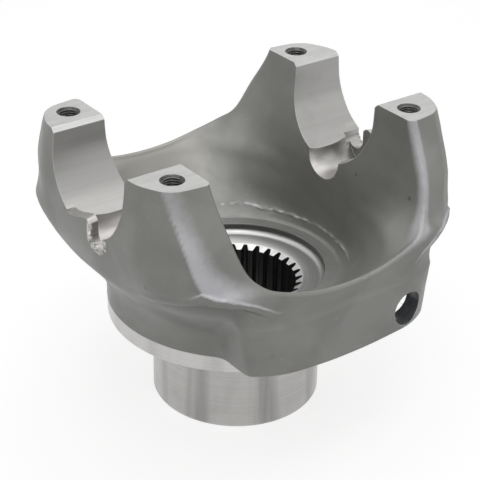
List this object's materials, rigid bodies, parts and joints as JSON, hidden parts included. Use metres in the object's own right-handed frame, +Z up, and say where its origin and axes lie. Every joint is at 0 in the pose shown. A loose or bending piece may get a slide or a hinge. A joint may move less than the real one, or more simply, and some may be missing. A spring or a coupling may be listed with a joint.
{
  "type": "half-round end yoke",
  "caption": "Forged driveline end yoke: an open bowl on a splined hub, with two ears holding half-round bearing cap seats between tapped tips.",
  "frame": {"origin": "middle of the hub's flat end", "axes": "+Z up along the spline, towards the ears; X along the common axis of the two bearing cap seats; -Y towards the lug with the drilling"},
  "size_m": [0.1708, 0.1706, 0.151],
  "materials": {
    "forged_steel": "shot-blasted forging skin, with bright turned and milled faces"
  },
  "bodies": {
    "root": {"yoke": "forged_steel"}
  },
  "joints": []
}
